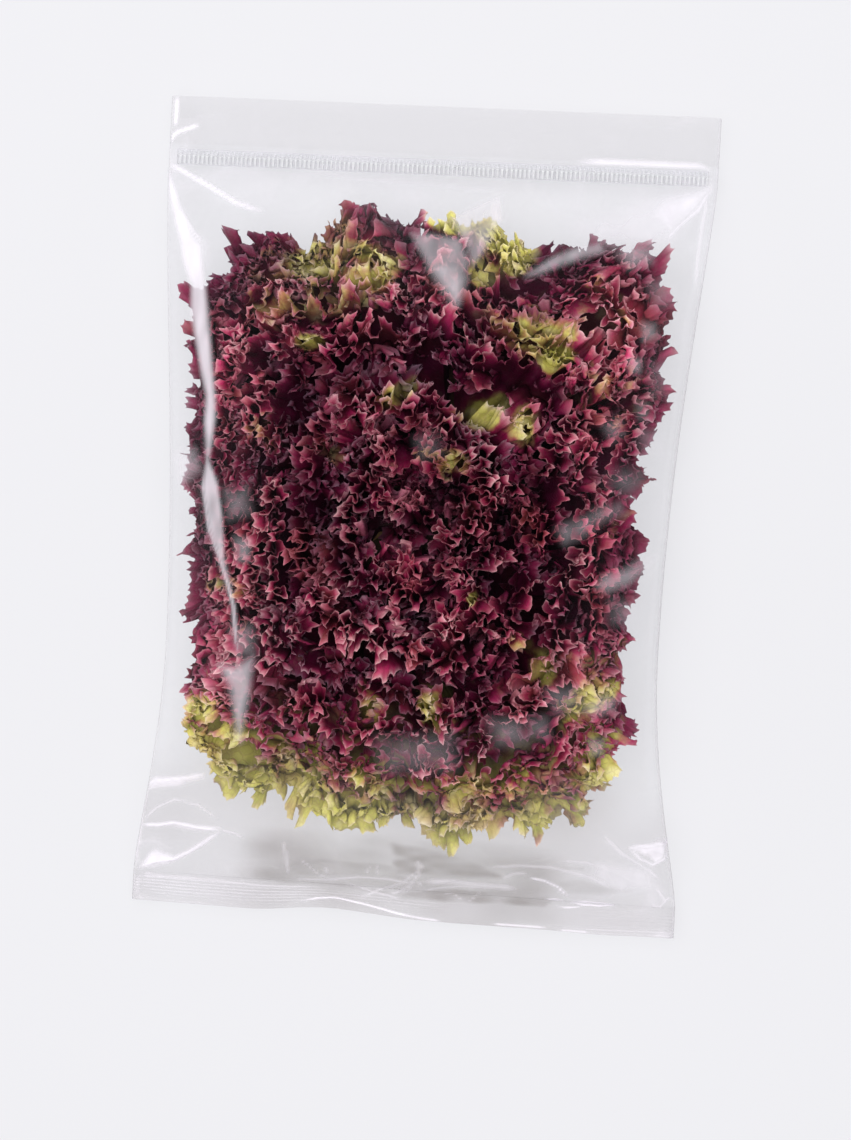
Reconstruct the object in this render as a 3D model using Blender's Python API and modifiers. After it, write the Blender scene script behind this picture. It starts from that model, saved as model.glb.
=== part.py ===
# Lollo rosso lettuce in its clear resealable bag, lying on its back film.
# Metres, +Z up. The origin is on the surface below the middle of the bag, +Y runs to the zip.
# The head is one rosette: leaves in nested rings on a short cone of a stem, each fanning out
# low over the back film and then rising to a ruffled margin just under the front film.

import math

import bmesh
import bpy
import numpy as np

# Bag
BAG_WIDTH = 0.250
BAG_LENGTH = 0.370
SEAL_TOP_Y = -0.171      # upper edge of the bottom seal
ZIP_BOTTOM_Y = 0.154     # lower edge of the zip band
ZIP_HEIGHT = 0.007
WAIST_Y = -0.055         # where the filled bag is narrowest
WAIST_DRAW = 0.014       # how far each side is drawn in there
FILL_THICKNESS = 0.078
FILL_POWER = 3.6         # how boxy the bulge is along the bag
END_HEIGHT = 0.012       # height of the seam plane at both ends of the bag
SEAM_RISE = 0.022        # how much higher the side creases lie at mid length
DOME_POWER = 2.6         # how boxy the bulge is across the bag
TOP_SHARE = 0.575        # share of the thickness above the side creases
BOTTOM_SHARE = 0.55      # share below, before the surface flattens it
FILM = 0.0008
MOUTH_GAP = 0.0030       # gap between the two films at the zip
LIP_GAP = 0.0014         # gap between the two films at the open top edge
SEAL_THICKNESS = 0.0014
CREASE = 0.0020          # width of the welded crease along each side
CLEARANCE = 0.0003       # between the zip strips, and between them and the film
ZIP_PLATE = 0.0006
ZIP_RIB = 0.0014
STATIONS = 20            # lengths of the filled stretch's mesh
COLUMNS = 14             # widths of its mesh on each film

# Lettuce head
HEAD_Y = -0.008
HEAD_HALF_WIDTH = 0.105
HEAD_HALF_LENGTH = 0.150
SHOULDER_GAIN = 0.120    # extra width of the head towards the zip
CORNER_POWER = (2.3, 6.0)  # how boxy the outline is in the middle of the head and outside
CENTRE_SHIFT = (-0.006, 0.010)
LEAF = 0.0008
LEAF_CLEARANCE = 0.0012
WARP = 0.0075            # how far the rings wander from plain ovals
WARP_WAVE = 0.110
BOWL_POWER = 2.5         # how flat a leaf fans out before it turns up
OUTER_RING = 0.86
# Shares of the head's height or half width
LEAN = 0.09              # how far a margin leans out
STEM_RISE = 0.50         # height of the innermost leaves' bases
STEM_FOOT = 0.03
BASE_RADIUS = (0.022, 0.125)  # from the head's middle to a leaf's base, innermost and outermost
RUFFLE = 0.047
TUCK = 0.027             # how far one edge of a leaf lies inside, and the other outside, its ring
# Shares of a leaf
SIDE_OVERLAP = 1.10      # its width over its place in the ring
BASE_FAN = 0.34          # its width at the base
END_DROP = 0.16          # how much lower the margin is at both sides
NOTCH = 0.05             # depth of the notches between its teeth
ROW_PLACES = (0.0, 0.50, 0.80, 1.0)
RINGS = (  # name, ring radius, leaves, waves in the margin, turn of the first leaf in degrees
    ("bud_leaf", 0.045, 1, 2, 200),
    ("heart_leaf", 0.115, 2, 3, 20),
    ("inner_leaf", 0.235, 3, 4, 75),
    ("middle_leaf", 0.36, 4, 4, 10),
    ("crown_leaf", 0.485, 5, 5, 52),
    ("shoulder_leaf", 0.61, 6, 5, 18),
    ("outer_leaf", 0.735, 7, 5, 90),
    ("wrapper_leaf", OUTER_RING, 9, 5, 62),
)
SEED = 7

# Stem
STEM_FOOT_RADIUS = 0.0105
STEM_TIP_RADIUS = 0.0030
STEM_HEIGHT = 0.36       # as a share of the head's
STEM_SIDES = 20

COLOURS = {
    "red_leaf": ((0.23, 0.035, 0.06), 0.5),
    "olive_leaf": ((0.30, 0.20, 0.08), 0.5),
    "green_leaf": ((0.42, 0.52, 0.12), 0.5),
    "stem": ((0.72, 0.76, 0.55), 0.55),
    "film": ((0.92, 0.94, 0.96), 0.12),
    "zip": ((0.90, 0.92, 0.94), 0.3),
}


def smoothstep(x):
    x = np.clip(x, 0.0, 1.0)
    return x * x * (3 - 2 * x)


def half_width(y):
    """Half the filled bag's width at a station along its length."""
    reach = np.where(y > WAIST_Y, ZIP_BOTTOM_Y - WAIST_Y, WAIST_Y - SEAL_TOP_Y)
    along = np.clip(np.abs(y - WAIST_Y) / reach, 0, 1)
    return BAG_WIDTH / 2 - WAIST_DRAW * (1 - along**2) ** 1.3


def along_fill(y):
    """Place along the filled stretch: 0 in its middle, 1 at the zip and at the bottom seal."""
    middle, reach = (ZIP_BOTTOM_Y + SEAL_TOP_Y) / 2, (ZIP_BOTTOM_Y - SEAL_TOP_Y) / 2
    return np.clip(np.abs(y - middle) / reach, 0, 1)


def thickness(y):
    return FILL_THICKNESS * (1 - along_fill(y) ** FILL_POWER)


def seam_height(y):
    return END_HEIGHT + SEAM_RISE * (1 - along_fill(y) ** 2.4)


def dome(x, y):
    """1 in the middle of the bag's width, 0 at the side creases."""
    return 1 - np.clip(np.abs(x) / half_width(y), 0, 1) ** DOME_POWER


def slack(x, y):
    """How far the empty front film stands off the rear one: nothing along the side creases."""
    to_lip = smoothstep((y - ZIP_BOTTOM_Y - ZIP_HEIGHT) / (BAG_LENGTH / 2 - ZIP_BOTTOM_Y - ZIP_HEIGHT))
    gap = MOUTH_GAP + (LIP_GAP - MOUTH_GAP) * to_lip + 2 * FILM
    gap = np.where(y < SEAL_TOP_Y + 0.0001, SEAL_THICKNESS, gap)
    return gap * smoothstep((half_width(y) - np.abs(x)) / CREASE)


def film_top(x, y):
    return seam_height(y) + TOP_SHARE * thickness(y) * dome(x, y) + slack(x, y)


def film_bottom(x, y):
    return np.maximum(0.0, seam_height(y) - BOTTOM_SHARE * thickness(y) * dome(x, y))


def head_outline(theta, rho):
    """Distance from the head's middle to its outline, boxier towards the outside."""
    power = CORNER_POWER[0] + (CORNER_POWER[1] - CORNER_POWER[0]) * np.clip(rho, 0, 1)
    across = np.abs(np.cos(theta)) / HEAD_HALF_WIDTH
    along = np.abs(np.sin(theta)) / HEAD_HALF_LENGTH
    return (across**power + along**power) ** (-1 / power)


def head_point(rho, theta, zeta):
    """Point of the head: rho from its middle to its outline, zeta from the back film to the front film."""
    reach = rho * head_outline(theta, rho)
    inward = 1 - np.clip(rho, 0, 1) ** 2
    y = HEAD_Y + reach * np.sin(theta) + CENTRE_SHIFT[1] * inward
    widen = 1 + SHOULDER_GAIN * smoothstep((y + 0.04) / 0.16)
    x = reach * np.cos(theta) * widen + CENTRE_SHIFT[0] * inward
    turn = 2 * math.pi / WARP_WAVE
    calm = WARP * (1 - np.clip(rho, 0, 1) ** 3)
    x, y = (
        x + calm * np.sin(turn * y + 1.0) * np.cos(0.6 * turn * x),
        y + calm * np.cos(0.8 * turn * x + 2.0),
    )
    low = film_bottom(x, y) + FILM + LEAF_CLEARANCE
    high = film_top(x, y) - FILM - LEAF_CLEARANCE
    return np.stack([x, y, low + zeta * (high - low)], axis=-1)


def bowl(ring, phi, lift):
    """Ring and height on a leaf's nested bowl, from the stem at phi 0 to the margin at phi 1."""
    angle = phi * math.pi / 2
    out = ring * np.sin(angle) ** (2 / BOWL_POWER)
    foot = STEM_FOOT + STEM_RISE * (1 - ring / OUTER_RING)
    zeta = foot + (lift - foot) * (1 - np.cos(angle) ** (2 / BOWL_POWER))
    return out + LEAN * zeta**1.5, zeta


def base_phi(ring):
    """Where on its bowl a leaf starts: close to the stem, which is narrower further up."""
    start = BASE_RADIUS[0] + (BASE_RADIUS[1] - BASE_RADIUS[0]) * ring / OUTER_RING
    return 2 / math.pi * math.asin((start / ring) ** (BOWL_POWER / 2))


def leaf_rows(waves):
    """Columns in each row of a leaf from base to margin: every row has twice those before it."""
    margin = 8 * waves
    return (margin // 8, margin // 4, margin // 2, margin)


def leaf_surface(ring, count, index, waves, turn, draw):
    """Rows of points on one leaf, from its base by the stem to its ruffled margin."""
    half_span = math.pi / count * (SIDE_OVERLAP if count > 1 else 0.93)
    middle = math.radians(turn) + 2 * math.pi * index / count
    lift = 0.90 + 0.10 * draw[0]
    phase = 2 * math.pi * draw[1]
    base = base_phi(ring)
    depth = RUFFLE * (0.4 + 0.6 * min(1.0, ring / 0.3))
    tuck = TUCK * min(1.0, ring / 0.1)
    rows = []
    for columns, place in zip(leaf_rows(waves), ROW_PLACES):
        s = np.linspace(-1, 1, columns + 1)
        # Every other point of the margin is a notch.
        notch = NOTCH * (np.arange(columns + 1) % 2) * (place == 1.0)
        phi = base + (1 - base) * place * (1 - END_DROP * np.abs(s) ** 4 - notch)
        fan = BASE_FAN + (1 - BASE_FAN) * smoothstep(place / 0.75)
        wave = math.pi * waves * (s + 1) + phase
        size = (0.75 + 0.25 * np.sin(1.7 * wave / waves + 5 * draw[2])) * (1 - 0.65 * np.abs(s) ** 3)
        own_ring = ring + tuck * s * fan + depth * place**2.2 * size * np.sin(wave)
        theta = middle + half_span * s * fan
        rho, zeta = bowl(own_ring, phi, lift)
        rows.append(head_point(rho, theta, zeta))
    return rows


def join_rows(bm, near, far):
    """Triangles between a row of points and the next one, which has the same number or twice as many."""
    step = (len(far) - 1) // (len(near) - 1)
    for i in range(len(near) - 1):
        a, b = near[i], near[i + 1]
        if step == 1:
            bm.faces.new((a, far[i], far[i + 1]))
            bm.faces.new((a, far[i + 1], b))
            continue
        c, d, e = far[2 * i], far[2 * i + 1], far[2 * i + 2]
        bm.faces.new((a, c, d))
        bm.faces.new((a, d, b))
        bm.faces.new((b, d, e))


def new_object(name, bm, slot, collection):
    mesh = bpy.data.meshes.new(name)
    bm.to_mesh(mesh)
    bm.free()
    obj = bpy.data.objects.new(name, mesh)
    mesh.materials.append(material(slot))
    collection.objects.link(obj)
    return obj


def material(slot):
    found = bpy.data.materials.get(slot)
    if found:
        return found
    colour, roughness = COLOURS[slot]
    made = bpy.data.materials.new(slot)
    made.use_nodes = True
    surface = made.node_tree.nodes["Principled BSDF"]
    surface.inputs["Base Color"].default_value = (*colour, 1)
    surface.inputs["Roughness"].default_value = roughness
    surface.inputs["Metallic"].default_value = 0.0
    if slot == "film":
        surface.inputs["Alpha"].default_value = 0.2
    return made


def make_leaf(name, slot, rows, collection):
    """One leaf: rows of triangles that grow finer to the margin, given their thickness by Solidify."""
    bm = bmesh.new()
    near = None
    for row in rows:
        far = [bm.verts.new(p) for p in row]
        if near:
            join_rows(bm, near, far)
        near = far
    leaf = new_object(name, bm, slot, collection)
    shell = leaf.modifiers.new("Thickness", "SOLIDIFY")
    shell.thickness = LEAF
    shell.offset = 0


def leaf_slot(ring_name, theta):
    """Red all over, but green along the bottom of the head and in one leaf at its top."""
    side = math.degrees(theta) % 360
    if ring_name == "wrapper_leaf" and (200 < side < 345 or 70 < side < 100):
        return "green_leaf"
    if ring_name == "outer_leaf" and (235 < side < 300 or 100 < side < 140):
        return "olive_leaf"
    return "red_leaf"


def make_head(collection):
    draws = np.random.default_rng(SEED)
    for ring_name, ring, count, waves, turn in RINGS:
        for index in range(count):
            draw = draws.random(3)
            rows = leaf_surface(ring, count, index, waves, turn, draw)
            theta = math.radians(turn) + 2 * math.pi * index / count
            make_leaf(f"{ring_name}_{index + 1}", leaf_slot(ring_name, theta), rows, collection)


def make_stem(collection):
    """The cut stem, a short cone turned from its profile, between the back film and the heart."""
    low, high = head_point(0.0, 0.0, 0.0), head_point(0.0, 0.0, STEM_HEIGHT)
    height = high[2] - low[2]
    profile = [(0, height), (STEM_TIP_RADIUS, height - 0.001)]
    profile += [(STEM_FOOT_RADIUS, 0.0015), (STEM_FOOT_RADIUS - 0.0015, 0), (0, 0)]
    bm = bmesh.new()
    points = [bm.verts.new((r, 0, z)) for r, z in profile]
    for a, b in zip(points, points[1:]):
        bm.edges.new((a, b))
    stem = new_object("stem", bm, "stem", collection)
    stem.location = low
    screw = stem.modifiers.new("Turn", "SCREW")
    screw.steps = screw.render_steps = STEM_SIDES
    screw.use_merge_vertices = True
    screw.merge_threshold = 0.00005


def film_stations():
    """Stations along the bag, close together at both ends of the filled stretch."""
    middle, reach = (ZIP_BOTTOM_Y + SEAL_TOP_Y) / 2, (ZIP_BOTTOM_Y - SEAL_TOP_Y) / 2
    filled = middle + reach * np.sin(np.linspace(-1, 1, STATIONS + 1) * math.pi / 2)
    header = (ZIP_BOTTOM_Y + ZIP_HEIGHT, (ZIP_BOTTOM_Y + ZIP_HEIGHT + BAG_LENGTH / 2) / 2, BAG_LENGTH / 2)
    return [-BAG_LENGTH / 2, *filled, *header]


def ring_of(x_reach, y, top, bottom):
    """Points round the bag at one station: across the front film, then back across the rear film."""
    share = np.sin(np.linspace(-1, 1, COLUMNS + 1) * math.pi / 2)
    x = x_reach * share
    front = [(px, y, top(px, y)) for px in x]
    back = [(px, y, bottom(px, y)) for px in x[::-1] if top(px, y) - bottom(px, y) > 1e-6]
    return front + back


def loft(name, rings, collection):
    """A closed solid through rings of points, each flat end a fan round its middle."""
    bm = bmesh.new()
    made = [[bm.verts.new(p) for p in ring] for ring in rings]
    count = len(made[0])
    for a, b in zip(made, made[1:]):
        for i in range(count):
            j = (i + 1) % count
            bm.faces.new((a[i], a[j], b[j], b[i]))
    ends = [bm.faces.new(made[0]), bm.faces.new(made[-1])]
    bmesh.ops.poke(bm, faces=ends)
    bmesh.ops.triangulate(bm, faces=bm.faces)
    bmesh.ops.recalc_face_normals(bm, faces=bm.faces)
    if bm.calc_volume(signed=True) < 0:
        bmesh.ops.reverse_faces(bm, faces=bm.faces)
    return new_object(name, bm, "film", collection)


def make_film(collection, cutters):
    """The bag: one shell of film, welded along its bottom band and open along its top edge."""

    def inner_top(x, y):
        return film_top(x, y) - FILM

    def inner_bottom(x, y):
        return film_bottom(x, y) + FILM

    stations = film_stations()
    rings = [ring_of(half_width(y), y, film_top, film_bottom) for y in stations]
    film = loft("bag_film", rings, collection)
    inside = [*stations[2:], BAG_LENGTH / 2 + 0.002]
    cavity = [ring_of(half_width(y) - 1.2 * CREASE, y, inner_top, inner_bottom) for y in inside]
    cutter = loft("bag_inside", cavity, cutters)
    cutter.hide_render = True
    cutter.display_type = "WIRE"
    cut = film.modifiers.new("Inside", "BOOLEAN")
    cut.operation = "DIFFERENCE"
    cut.object = cutter


def make_strip(name, stations, plate, wall, walled, collection):
    """A zip strip from its cross-section: a plate with walls standing on some of its columns."""
    columns = [(i, plate) for i in range(len(stations) - 1)] + [(i, wall) for i in walled]
    bm = bmesh.new()
    for i, (low, high) in columns:
        y, next_y = stations[i], stations[i + 1]
        corners = ((0, y, low), (0, next_y, low), (0, next_y, high), (0, y, high))
        bm.faces.new([bm.verts.new(corner) for corner in corners])
    bmesh.ops.remove_doubles(bm, verts=bm.verts, dist=0.00001)
    strip = new_object(name, bm, "zip", collection)
    length = strip.modifiers.new("Length", "SOLIDIFY")
    length.thickness = BAG_WIDTH - 4 * CREASE
    length.offset = 0


def make_zip(collection):
    """The two closed zip strips between the films: a channel on the rear one, a rib on the front one."""
    y0, y1 = ZIP_BOTTOM_Y + CLEARANCE, ZIP_BOTTOM_Y + ZIP_HEIGHT - CLEARANCE
    middle = (y0 + y1) / 2
    rib = ZIP_RIB / 2
    slot = rib + CLEARANCE
    wall = slot + ZIP_PLATE
    z0 = END_HEIGHT + FILM + CLEARANCE
    z1 = z0 + ZIP_PLATE
    z4 = END_HEIGHT + FILM + MOUTH_GAP - CLEARANCE
    z3 = z4 - ZIP_PLATE
    across = (y0, middle - wall, middle - slot, middle + slot, middle + wall, y1)
    make_strip("zip_channel", across, (z0, z1), (z1, z3 - CLEARANCE), (1, 3), collection)
    across = (y0, middle - rib, middle + rib, y1)
    make_strip("zip_rib", across, (z3, z4), (z1 + CLEARANCE, z3), (1,), collection)


def clear_scene():
    for obj in list(bpy.data.objects):
        bpy.data.objects.remove(obj)


def main():
    clear_scene()
    pack = bpy.data.collections.new("lollo_rosso_lettuce")
    cutters = bpy.data.collections.new("cutters")
    for collection in (pack, cutters):
        bpy.context.scene.collection.children.link(collection)
    make_head(pack)
    make_stem(pack)
    make_film(pack, cutters)
    make_zip(pack)


main()
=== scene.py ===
import math

import bpy
import numpy as np
from mathutils import Matrix, Vector


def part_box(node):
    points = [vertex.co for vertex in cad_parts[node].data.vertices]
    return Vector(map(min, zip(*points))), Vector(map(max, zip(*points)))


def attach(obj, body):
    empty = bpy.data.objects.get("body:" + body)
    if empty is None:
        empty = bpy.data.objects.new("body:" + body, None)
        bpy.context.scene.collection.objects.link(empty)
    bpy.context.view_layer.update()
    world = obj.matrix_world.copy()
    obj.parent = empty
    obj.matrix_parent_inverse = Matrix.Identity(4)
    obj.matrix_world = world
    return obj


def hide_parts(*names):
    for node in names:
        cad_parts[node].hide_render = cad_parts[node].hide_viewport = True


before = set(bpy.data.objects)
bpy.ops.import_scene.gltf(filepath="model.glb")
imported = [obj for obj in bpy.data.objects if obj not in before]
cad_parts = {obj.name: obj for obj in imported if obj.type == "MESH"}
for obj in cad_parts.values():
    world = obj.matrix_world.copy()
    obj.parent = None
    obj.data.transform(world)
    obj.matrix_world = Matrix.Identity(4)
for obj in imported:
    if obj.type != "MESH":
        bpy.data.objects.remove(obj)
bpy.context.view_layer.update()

# Bag, as in the part
BAG_WIDTH = 0.250
BAG_LENGTH = 0.370
SEAL_TOP_Y = -0.171
ZIP_BOTTOM_Y = 0.154
ZIP_HEIGHT = 0.007
WAIST_Y = -0.055
WAIST_DRAW = 0.014
FILL_THICKNESS = 0.078
FILL_POWER = 3.6
END_HEIGHT = 0.012
SEAM_RISE = 0.022
DOME_POWER = 2.6
TOP_SHARE = 0.575
BOTTOM_SHARE = 0.55
FILM = 0.0008
MOUTH_GAP = 0.0030
LIP_GAP = 0.0014
SEAL_THICKNESS = 0.0014
CREASE = 0.0020

# Lettuce head, as in the part
HEAD_Y = -0.008
HEAD_HALF_WIDTH = 0.105
HEAD_HALF_LENGTH = 0.150
SHOULDER_GAIN = 0.120
CORNER_POWER = (2.3, 6.0)
CENTRE_SHIFT = (-0.006, 0.010)
LEAF_CLEARANCE = 0.0012
WARP = 0.0075
WARP_WAVE = 0.110
BOWL_POWER = 2.5
OUTER_RING = 0.86
LEAN = 0.09
STEM_RISE = 0.50
STEM_FOOT = 0.03
BASE_RADIUS = (0.022, 0.125)
RUFFLE = 0.047
TUCK = 0.027
SIDE_OVERLAP = 1.10
BASE_FAN = 0.34
RINGS = (
    ("bud_leaf", 0.045, 1, 2, 200),
    ("heart_leaf", 0.115, 2, 3, 20),
    ("inner_leaf", 0.235, 3, 4, 75),
    ("middle_leaf", 0.36, 4, 4, 10),
    ("crown_leaf", 0.485, 5, 5, 52),
    ("shoulder_leaf", 0.61, 6, 5, 18),
    ("outer_leaf", 0.735, 7, 5, 90),
    ("wrapper_leaf", OUTER_RING, 9, 5, 62),
)
SEED = 7


def smoothstep(x):
    x = np.clip(x, 0.0, 1.0)
    return x * x * (3 - 2 * x)


def half_width(y):
    reach = np.where(y > WAIST_Y, ZIP_BOTTOM_Y - WAIST_Y, WAIST_Y - SEAL_TOP_Y)
    along = np.clip(np.abs(y - WAIST_Y) / reach, 0, 1)
    return BAG_WIDTH / 2 - WAIST_DRAW * (1 - along**2) ** 1.3


def along_fill(y):
    middle, reach = (ZIP_BOTTOM_Y + SEAL_TOP_Y) / 2, (ZIP_BOTTOM_Y - SEAL_TOP_Y) / 2
    return np.clip(np.abs(y - middle) / reach, 0, 1)


def thickness(y):
    return FILL_THICKNESS * (1 - along_fill(y) ** FILL_POWER)


def seam_height(y):
    return END_HEIGHT + SEAM_RISE * (1 - along_fill(y) ** 2.4)


def dome(x, y):
    return 1 - np.clip(np.abs(x) / half_width(y), 0, 1) ** DOME_POWER


def slack(x, y):
    to_lip = smoothstep((y - ZIP_BOTTOM_Y - ZIP_HEIGHT) / (BAG_LENGTH / 2 - ZIP_BOTTOM_Y - ZIP_HEIGHT))
    gap = MOUTH_GAP + (LIP_GAP - MOUTH_GAP) * to_lip + 2 * FILM
    gap = np.where(y < SEAL_TOP_Y + 0.0001, SEAL_THICKNESS, gap)
    return gap * smoothstep((half_width(y) - np.abs(x)) / CREASE)


def film_top(x, y):
    return seam_height(y) + TOP_SHARE * thickness(y) * dome(x, y) + slack(x, y)


def film_bottom(x, y):
    return np.maximum(0.0, seam_height(y) - BOTTOM_SHARE * thickness(y) * dome(x, y))


def head_outline(theta, rho):
    power = CORNER_POWER[0] + (CORNER_POWER[1] - CORNER_POWER[0]) * np.clip(rho, 0, 1)
    across = np.abs(np.cos(theta)) / HEAD_HALF_WIDTH
    along = np.abs(np.sin(theta)) / HEAD_HALF_LENGTH
    return (across**power + along**power) ** (-1 / power)


def head_point(rho, theta, zeta):
    reach = rho * head_outline(theta, rho)
    inward = 1 - np.clip(rho, 0, 1) ** 2
    y = HEAD_Y + reach * np.sin(theta) + CENTRE_SHIFT[1] * inward
    widen = 1 + SHOULDER_GAIN * smoothstep((y + 0.04) / 0.16)
    x = reach * np.cos(theta) * widen + CENTRE_SHIFT[0] * inward
    turn = 2 * math.pi / WARP_WAVE
    calm = WARP * (1 - np.clip(rho, 0, 1) ** 3)
    x, y = (
        x + calm * np.sin(turn * y + 1.0) * np.cos(0.6 * turn * x),
        y + calm * np.cos(0.8 * turn * x + 2.0),
    )
    low = film_bottom(x, y) + FILM + LEAF_CLEARANCE
    high = film_top(x, y) - FILM - LEAF_CLEARANCE
    return np.stack([x, y, low + zeta * (high - low)], axis=-1)


def bowl(ring, phi, lift):
    angle = np.clip(phi, 0, 1) * math.pi / 2
    out = ring * np.sin(angle) ** (2 / BOWL_POWER)
    foot = STEM_FOOT + STEM_RISE * (1 - ring / OUTER_RING)
    zeta = foot + (lift - foot) * (1 - np.cos(angle) ** (2 / BOWL_POWER))
    return out + LEAN * zeta**1.5, zeta


def base_phi(ring):
    start = BASE_RADIUS[0] + (BASE_RADIUS[1] - BASE_RADIUS[0]) * ring / OUTER_RING
    return 2 / math.pi * math.asin((start / ring) ** (BOWL_POWER / 2))


# Noise


def lattice(i, j, seed):
    value = np.sin(i * 127.1 + j * 311.7 + seed * 74.7) * 43758.5453
    return 2 * (value - np.floor(value)) - 1


def noise(x, y=0.0, seed=0):
    """Smooth noise between -1 and 1, with one cell per unit."""
    x, y = np.broadcast_arrays(np.asarray(x, float), np.asarray(y, float))
    i, j = np.floor(x), np.floor(y)
    u, v = smoothstep(x - i), smoothstep(y - j)
    low = lattice(i, j, seed) * (1 - u) + lattice(i + 1, j, seed) * u
    high = lattice(i, j + 1, seed) * (1 - u) + lattice(i + 1, j + 1, seed) * u
    return low * (1 - v) + high * v


# Meshes


def new_mesh(name, points, faces, uv=None, fields=None):
    """A smooth-shaded mesh from arrays of points and faces, with UVs and named values at its points."""
    mesh = bpy.data.meshes.new(name)
    sizes = np.concatenate([np.full(len(f), f.shape[1]) for f in faces])
    corners = np.concatenate([f.ravel() for f in faces])
    mesh.vertices.add(len(points))
    mesh.vertices.foreach_set("co", np.asarray(points, np.float32).ravel())
    mesh.loops.add(len(corners))
    mesh.loops.foreach_set("vertex_index", corners.astype(np.int32))
    mesh.polygons.add(len(sizes))
    mesh.polygons.foreach_set("loop_start", np.concatenate([[0], np.cumsum(sizes)[:-1]]).astype(np.int32))
    mesh.polygons.foreach_set("loop_total", sizes.astype(np.int32))
    mesh.polygons.foreach_set("use_smooth", np.ones(len(sizes), bool))
    if uv is not None:
        layer = mesh.uv_layers.new(name="UVMap")
        layer.data.foreach_set("uv", np.asarray(uv, np.float32)[corners].ravel())
    for field, values in (fields or {}).items():
        attribute = mesh.attributes.new(field, "FLOAT", "POINT")
        attribute.data.foreach_set("value", np.asarray(values, np.float32).ravel())
    mesh.update(calc_edges=True)
    mesh.validate()
    obj = bpy.data.objects.new(name, mesh)
    bpy.context.scene.collection.objects.link(obj)
    return obj


def unit(v):
    return v / np.maximum(np.linalg.norm(v, axis=-1, keepdims=True), 1e-9)


def normals(points):
    """Normals of a grid of points, rows first."""
    return unit(np.cross(np.gradient(points, axis=1), np.gradient(points, axis=0)))


def grid_faces(number):
    """Quads of a grid of point numbers, rows first."""
    corners = number[:-1, :-1], number[:-1, 1:], number[1:, 1:], number[1:, :-1]
    return np.stack([corner.ravel() for corner in corners], 1)


# Leaves

# Greener patches of the head: x, y, radius and strength, in mm from the middle of the bag.
GREEN_PATCHES = (
    (-60, -150, 46, 1.0), (-20, -156, 46, 1.1), (25, -158, 44, 0.9), (70, -150, 42, 0.72),
    (95, -128, 34, 0.68), (-92, -122, 38, 0.8), (12, 138, 13, 1.3), (30, 130, 12, 1.2),
    (38, 121, 10, 1.1), (24, 112, 9, 0.8), (-48, 118, 26, 0.6), (-26, 112, 16, 0.7), (25, 46, 10, 1.2),
    (44, 39, 11, 0.75), (58, 71, 11, 1.1), (48, 86, 17, 0.62), (-55, 72, 7, 0.85), (-8, 53, 9, 0.65),
    (10, 22, 8, 0.5), (27, -35, 5, 0.9), (14, -85, 10, 0.75), (-18, -87, 10, 0.55), (60, -57, 10, 0.62),
    (82, -76, 14, 0.6), (76, 100, 24, 0.3), (82, 60, 18, 0.3), (84, 6, 14, 0.3), (-30, 30, 10, 0.35),
    (-70, 100, 20, 0.5), (92, -60, 18, 0.4), (-80, -40, 16, 0.35), (-66, 40, 12, 0.35),
)


def greenness(x, y):
    """How green the head is at a place, from 0 for red to 1."""
    u, v = x * 1000, y * 1000
    wander = 9 * noise(u / 22, v / 22, 5), 9 * noise(u / 22, v / 22, 6)
    total = np.zeros_like(u)
    for px, py, radius, strength in GREEN_PATCHES:
        away = np.hypot(u + wander[0] - px, v + wander[1] - py) / radius
        total = np.maximum(total, strength * smoothstep(1.35 - away))
    return np.clip(total + 0.02 + 0.16 * noise(u / 9, v / 9, 8), 0, 1)


# Hollows between the frills, where the leaves sink and painted shade darkens them: x, y and radius, in mm
# from the middle of the bag.
HOLLOWS = (
    (-57, 48, 8.9), (-72, 67, 5.2), (-17, 76, 5.2), (-5, 61, 4.7), (-3, 72, 5.2), (-81, 61, 3.1),
    (-61, 19, 4.7), (-39, 1, 7.3), (-16, -5, 6.8), (14, 12, 6.8), (2, -1, 5.8), (-21, 26, 4.2),
    (-3, 33, 4.7), (-36, 26, 3.1), (-74, 1, 4.2), (43, 66, 9.5), (4, 77, 5.2), (19, 69, 4.7),
    (11, 63, 4.7), (24, 91, 5.2), (59, 58, 5.0), (43, -25, 6.8), (16, -31, 4.2), (33, -55, 5.2),
    (30, -74, 5.8), (32, -97, 6.0), (70, -66, 4.2), (8, -43, 7.0), (78, -40, 5.8), (46, -58, 4.2),
    (10, -92, 4.2), (68, -89, 5.8), (3, -69, 4.2), (14, -68, 4.2), (-5, -49, 4.2), (59, 16, 6.0),
    (81, 43, 4.7), (67, -14, 4.7), (90, 21, 4.2), (-26, -41, 5.2), (-49, -34, 4.7), (-43, -64, 5.2),
    (-23, -76, 4.7), (-57, -83, 4.7), (-68, -49, 4.2), (84, -14, 4.2), (88, 56, 4.2), (63, 46, 4.2),
    (-87, 92, 4.2), (-54, 92, 4.7), (-23, -19, 4.2), (41, 2, 4.7),
)


def hollow(x, y):
    """How far the leaves sink at a place, from 0 to 1."""
    total = np.zeros_like(x)
    for px, py, radius in HOLLOWS:
        total = np.maximum(total, smoothstep((1.42 - np.hypot(x - px, y - py) / radius) / 0.84))
    return total


# The outline of the head seen from the front, in mm from the middle of the bag, anticlockwise.
OUTLINE = (
    (116, 105), (108, 80), (113, 58), (109, 36), (111, 23), (104, 0), (106, -13), (102, -40), (103, -67),
    (104, -94), (99, -112), (89, -133), (63, -144), (32, -152), (0, -142), (-32, -151), (-64, -139),
    (-90, -130), (-104, -104), (-105, -89), (-105, -71), (-104, -26), (-109, 37), (-114, 96),
    (-103, 114), (-87, 126), (-75, 127), (-63, 123), (-50, 126), (-46, 134), (-38, 140), (-29, 144),
    (-18, 139), (-9, 136), (2, 144), (8, 146), (15, 144), (24, 141), (32, 134), (42, 128), (57, 128),
    (75, 128), (85, 132), (96, 131), (105, 125), (113, 118),
)


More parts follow.
